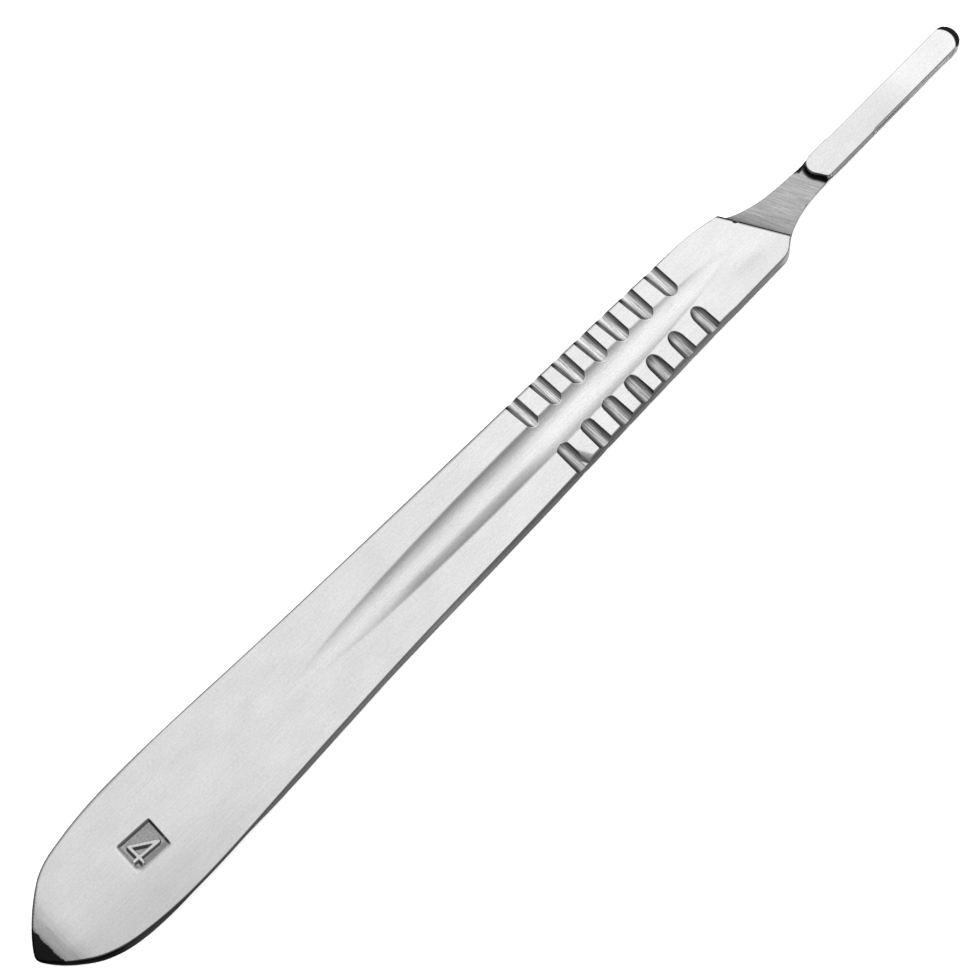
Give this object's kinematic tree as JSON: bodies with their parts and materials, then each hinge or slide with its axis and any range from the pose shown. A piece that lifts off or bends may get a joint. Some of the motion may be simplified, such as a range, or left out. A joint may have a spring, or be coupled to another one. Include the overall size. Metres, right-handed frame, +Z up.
{
  "type": "scalpel handle",
  "caption": "Flat one-piece steel scalpel handle: long shallow flute, cross grooves for finger and thumb, slanted step, thin neck and a slotted lug that takes a detachable blade.",
  "frame": {"origin": "on the back face, under the middle of the length, on the centre line of the blade fitting", "axes": "+X from the butt to the blade end, +Z up through the face that carries the lug, +Y across the handle; it lies on its back face, as it comes to rest"},
  "size_m": [0.135, 0.0141, 0.003],
  "materials": {
    "handle_steel": "fine satin, brushed lengthways; ground bright in the flute and the cross grooves"
  },
  "bodies": {
    "root": {"scalpel_handle": "handle_steel"}
  },
  "joints": []
}
